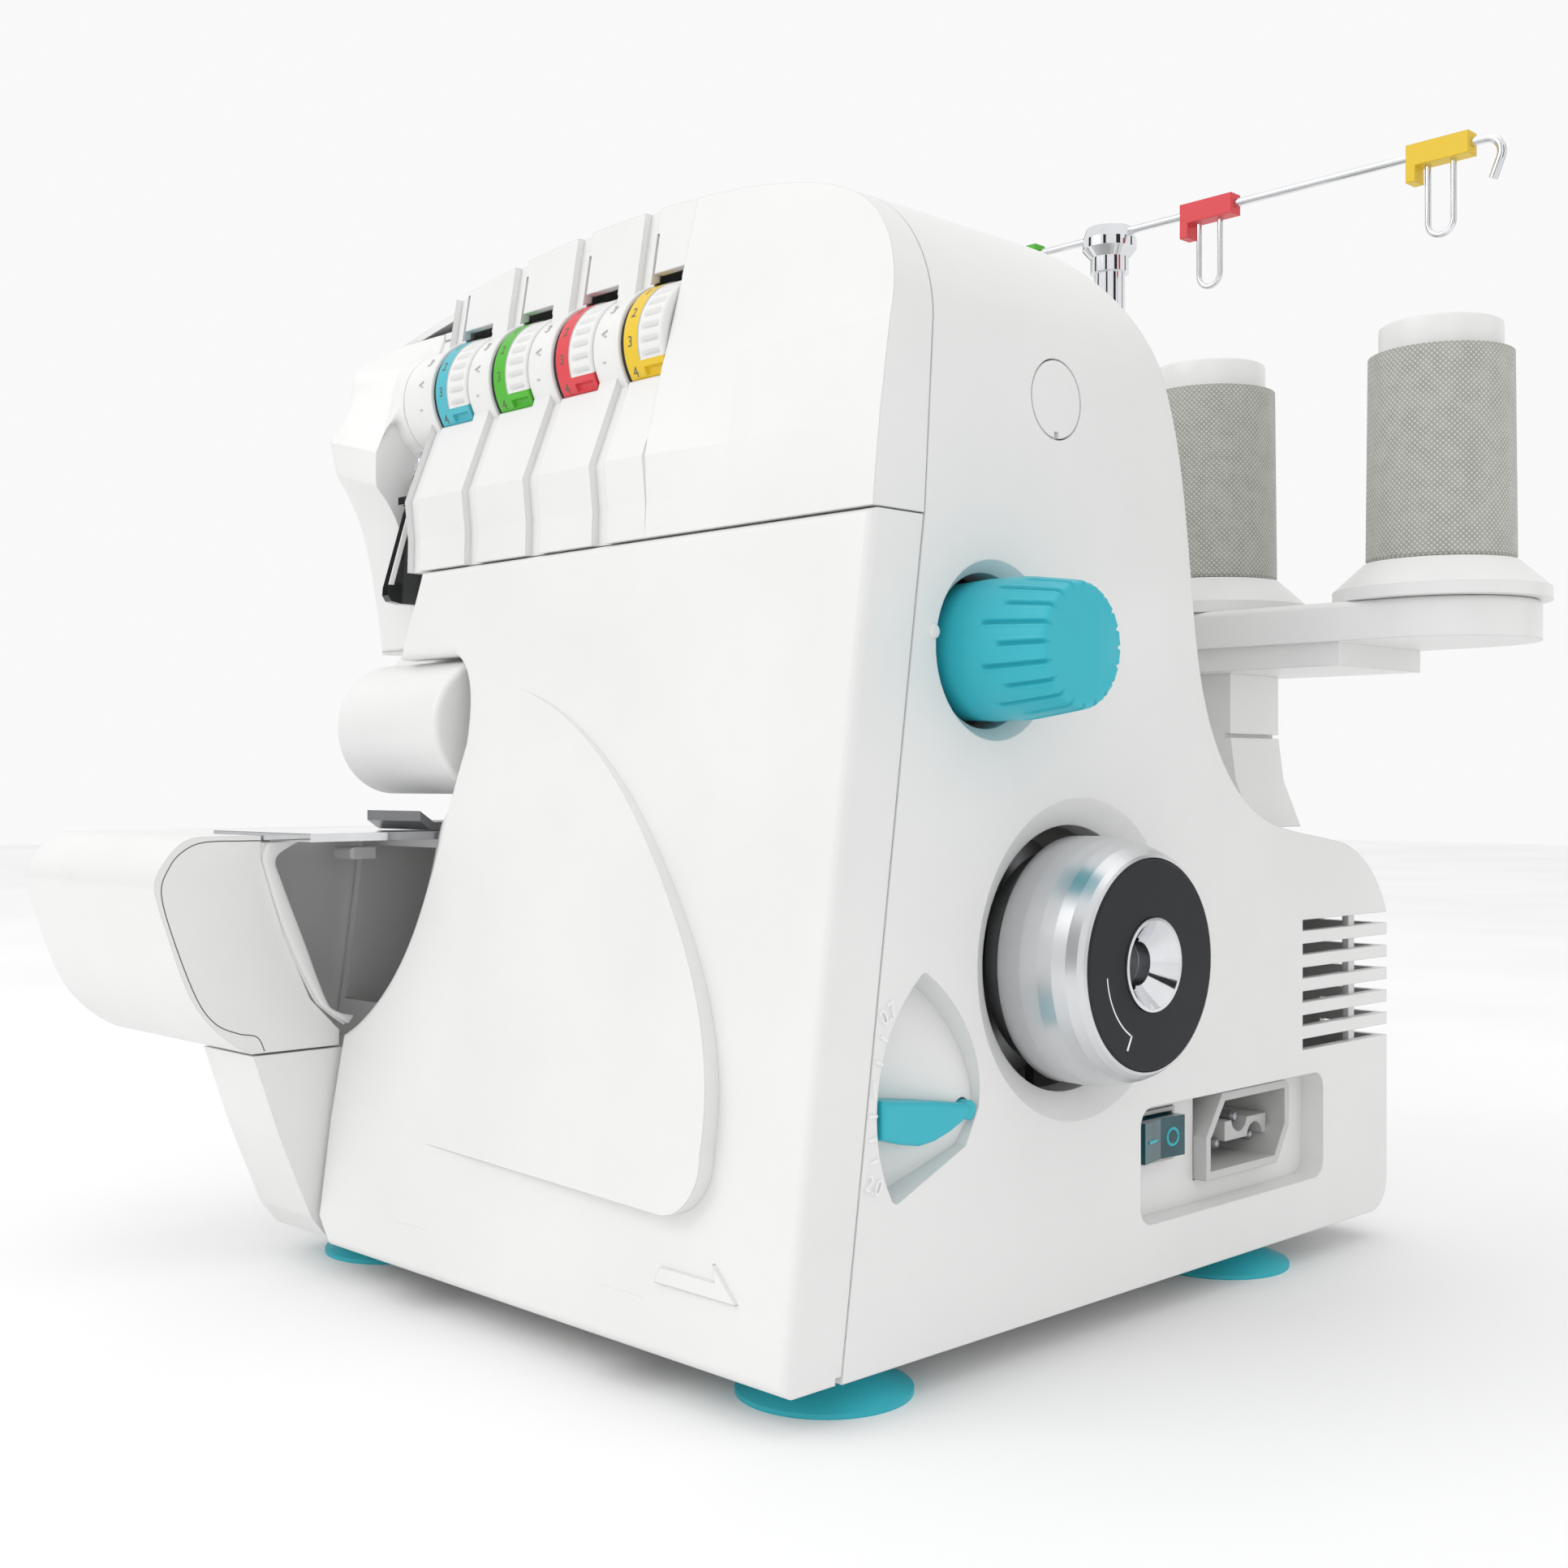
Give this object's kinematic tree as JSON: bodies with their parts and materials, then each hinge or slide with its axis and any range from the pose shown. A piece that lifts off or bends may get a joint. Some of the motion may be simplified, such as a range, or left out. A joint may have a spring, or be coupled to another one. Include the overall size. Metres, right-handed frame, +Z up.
{
  "type": "serger overlock machine",
  "caption": "Domestic overlock sewing machine: white casing with coloured tension dials, side handwheel, slide-off cloth arm, drop-down looper cover and a rear thread stand.",
  "frame": {"origin": "centre of the overall footprint, on the table under the suction feet", "axes": "+X to the handwheel side, +Y to the rear, +Z up"},
  "size_m": [0.3608, 0.3197, 0.332],
  "materials": {
    "white_shell": "smooth white moulded plastic",
    "grey_plastic": "light grey moulded plastic",
    "anthracite": "dark grey face, satin",
    "teal_plastic": "teal moulded plastic, satin",
    "teal_rubber": "soft teal rubber",
    "rocker_teal": "dark teal translucent plastic",
    "smoked": "smoked clear plastic",
    "cast_frame": "die cast, raw",
    "steel": "ground steel",
    "polished_plate": "polished plate",
    "chrome": "bright plated",
    "silver_rim": "silver metallised plastic",
    "bronze": "sintered bronze",
    "black_rubber": "belt rubber",
    "motor_can": "grey lacquer",
    "thread_grey": "wound thread under a net",
    "dial_yellow": "yellow moulded plastic",
    "dial_red": "red moulded plastic",
    "dial_green": "green moulded plastic",
    "dial_blue": "light blue moulded plastic",
    "clip_colours": "coloured clips"
  },
  "bodies": {
    "frame": {"base_screws": "steel", "base_tray": "white_shell", "bed_casing": "white_shell", "drive_belts": "black_rubber", "head_nose": "white_shell", "inlet_pins": "steel", "left_cover": "white_shell", "lower_knife": "steel", "main_frame": "cast_frame", "mast_tube": "chrome", "motor": "motor_can", "needle_plate": "polished_plate", "pivot_pins": "steel", "power_inlet": "grey_plastic", "rear_cover": "white_shell", "right_cover": "white_shell", "shaft_bushes": "bronze", "side_plug": "white_shell", "spool_holders": "white_shell", "spool_pins": "white_shell", "stand_column": "white_shell", "stand_plate": "white_shell", "suction_feet": "teal_rubber", "switch_housing": "grey_plastic", "take_up_guard": "smoked", "tension_posts": "steel", "thread_guides": "chrome", "upper_cover": "white_shell"},
    "handwheel": {"handwheel_rim": "silver_rim", "handwheel_face": "anthracite", "handwheel_hub": "chrome", "main_shaft": "steel"},
    "motor_rotor": {"motor_shaft": "steel"},
    "looper_drive": {"lower_shaft": "steel"},
    "stitch_knob": {"stitch_knob": "teal_plastic"},
    "feed_lever": {"feed_lever": "teal_plastic"},
    "cover_slide": {"hinge_sleeve": "steel"},
    "front_cover": {"front_cover": "white_shell"},
    "cloth_arm": {"arm_extension": "white_shell"},
    "needle_bar": {"needle_bar": "steel", "needles": "steel"},
    "foot_lifter": {"foot_lifter": "white_shell"},
    "presser": {"presser_bar": "steel", "presser_foot": "steel"},
    "lower_looper": {"lower_looper": "steel"},
    "upper_looper": {"upper_looper": "steel"},
    "upper_knife": {"upper_knife": "steel"},
    "power_rocker": {"power_rocker": "rocker_teal"},
    "width_lever": {"width_lever": "teal_plastic"},
    "mast": {"mast_rod": "chrome", "guide_rail": "chrome", "guide_clips": "clip_colours"},
    "dial_1": {"tension_dial_1": "dial_yellow"},
    "spool_1": {"thread_spool_1": "thread_grey"},
    "dial_2": {"tension_dial_2": "dial_red"},
    "spool_2": {"thread_spool_2": "thread_grey"},
    "dial_3": {"tension_dial_3": "dial_green"},
    "spool_3": {"thread_spool_3": "thread_grey"},
    "dial_4": {"tension_dial_4": "dial_blue"},
    "spool_4": {"thread_spool_4": "thread_grey"}
  },
  "joints": [
    {"name": "handwheel_spin", "type": "hinge", "parent": "frame", "child": "handwheel", "pos_m": [0.11065, -0.0032, 0.0995], "axis": [1, 0, 0], "continuous": true},
    {"name": "motor_spin", "type": "hinge", "parent": "frame", "child": "motor_rotor", "pos_m": [0.11065, 0.0788, 0.084], "axis": [1, 0, 0], "continuous": true},
    {"name": "looper_drive_spin", "type": "hinge", "parent": "frame", "child": "looper_drive", "pos_m": [0.11065, -0.0332, 0.058], "axis": [1, 0, 0], "continuous": true},
    {"name": "stitch_knob_turn", "type": "hinge", "parent": "frame", "child": "stitch_knob", "pos_m": [0.11065, -0.0382, 0.178], "axis": [1, 0, 0], "range_deg": [-150, 150]},
    {"name": "feed_lever_turn", "type": "hinge", "parent": "frame", "child": "feed_lever", "pos_m": [0.11065, -0.0486, 0.0658], "axis": [1, 0, 0], "range_deg": [-28, 14]},
    {"name": "cover_shift", "type": "slide", "parent": "frame", "child": "cover_slide", "axis": [1, 0, 0], "range_m": [0, 0.005]},
    {"name": "front_cover_open", "type": "hinge", "parent": "cover_slide", "child": "front_cover", "pos_m": [0.11065, -0.1047, 0.0145], "axis": [1, 0, 0], "range_deg": [0, 90]},
    {"name": "cloth_arm_slide", "type": "slide", "parent": "frame", "child": "cloth_arm", "axis": [-1, 0, 0], "range_m": [0, 0.09]},
    {"name": "needle_bar_stroke", "type": "slide", "parent": "frame", "child": "needle_bar", "axis": [0, 0, 1], "range_m": [-0.018, 0]},
    {"name": "foot_lifter_raise", "type": "hinge", "parent": "frame", "child": "foot_lifter", "pos_m": [0.11065, -0.0132, 0.197], "axis": [1, 0, 0], "range_deg": [0, 35]},
    {"name": "presser_lift", "type": "slide", "parent": "frame", "child": "presser", "axis": [0, 0, 1], "range_m": [0, 0.0059]},
    {"name": "lower_looper_swing", "type": "hinge", "parent": "frame", "child": "lower_looper", "pos_m": [-0.06535, -0.1112, 0.04], "axis": [0, 1, 0], "range_deg": [-10, 2]},
    {"name": "upper_looper_swing", "type": "hinge", "parent": "frame", "child": "upper_looper", "pos_m": [-0.04935, -0.1112, 0.062], "axis": [0, 1, 0], "range_deg": [-10, 10]},
    {"name": "upper_knife_stroke", "type": "slide", "parent": "frame", "child": "upper_knife", "axis": [0, 0, 1], "range_m": [-0.006, 0.006]},
    {"name": "power_rocker_tip", "type": "hinge", "parent": "frame", "child": "power_rocker", "pos_m": [0.10265, 0.038, 0], "axis": [0, 0, 1], "range_deg": [-8, 8]},
    {"name": "width_lever_slide", "type": "slide", "parent": "frame", "child": "width_lever", "axis": [1, 0, 0], "range_m": [-0.003, 0.005]},
    {"name": "mast_telescope", "type": "slide", "parent": "frame", "child": "mast", "axis": [0, 0, 1], "range_m": [-0.018, 0]},
    {"name": "dial_1_turn", "type": "hinge", "parent": "frame", "child": "dial_1", "pos_m": [0.11065, -0.0587, 0.2645], "axis": [1, 0, 0], "range_deg": [-90, 60]},
    {"name": "spool_1_unwind", "type": "hinge", "parent": "frame", "child": "spool_1", "pos_m": [0.15005, 0.1168, 0], "axis": [0, 0, 1], "continuous": true},
    {"name": "dial_2_turn", "type": "hinge", "parent": "frame", "child": "dial_2", "pos_m": [0.11065, -0.0587, 0.2645], "axis": [1, 0, 0], "range_deg": [-90, 60]},
    {"name": "spool_2_unwind", "type": "hinge", "parent": "frame", "child": "spool_2", "pos_m": [0.07235, 0.1168, 0], "axis": [0, 0, 1], "continuous": true},
    {"name": "dial_3_turn", "type": "hinge", "parent": "frame", "child": "dial_3", "pos_m": [0.11065, -0.0587, 0.2645], "axis": [1, 0, 0], "range_deg": [-90, 60]},
    {"name": "spool_3_unwind", "type": "hinge", "parent": "frame", "child": "spool_3", "pos_m": [-0.00535, 0.1168, 0], "axis": [0, 0, 1], "continuous": true},
    {"name": "dial_4_turn", "type": "hinge", "parent": "frame", "child": "dial_4", "pos_m": [0.11065, -0.0587, 0.2645], "axis": [1, 0, 0], "range_deg": [-90, 60]},
    {"name": "spool_4_unwind", "type": "hinge", "parent": "frame", "child": "spool_4", "pos_m": [-0.08305, 0.1168, 0], "axis": [0, 0, 1], "continuous": true}
  ],
  "couplings": [
    {"joint": "motor_spin", "follows": "handwheel_spin", "ratio": 3.75},
    {"joint": "looper_drive_spin", "follows": "handwheel_spin", "ratio": 1},
    {"joint": "foot_lifter_raise", "follows": "presser_lift", "rad_per_m": 102}
  ]
}
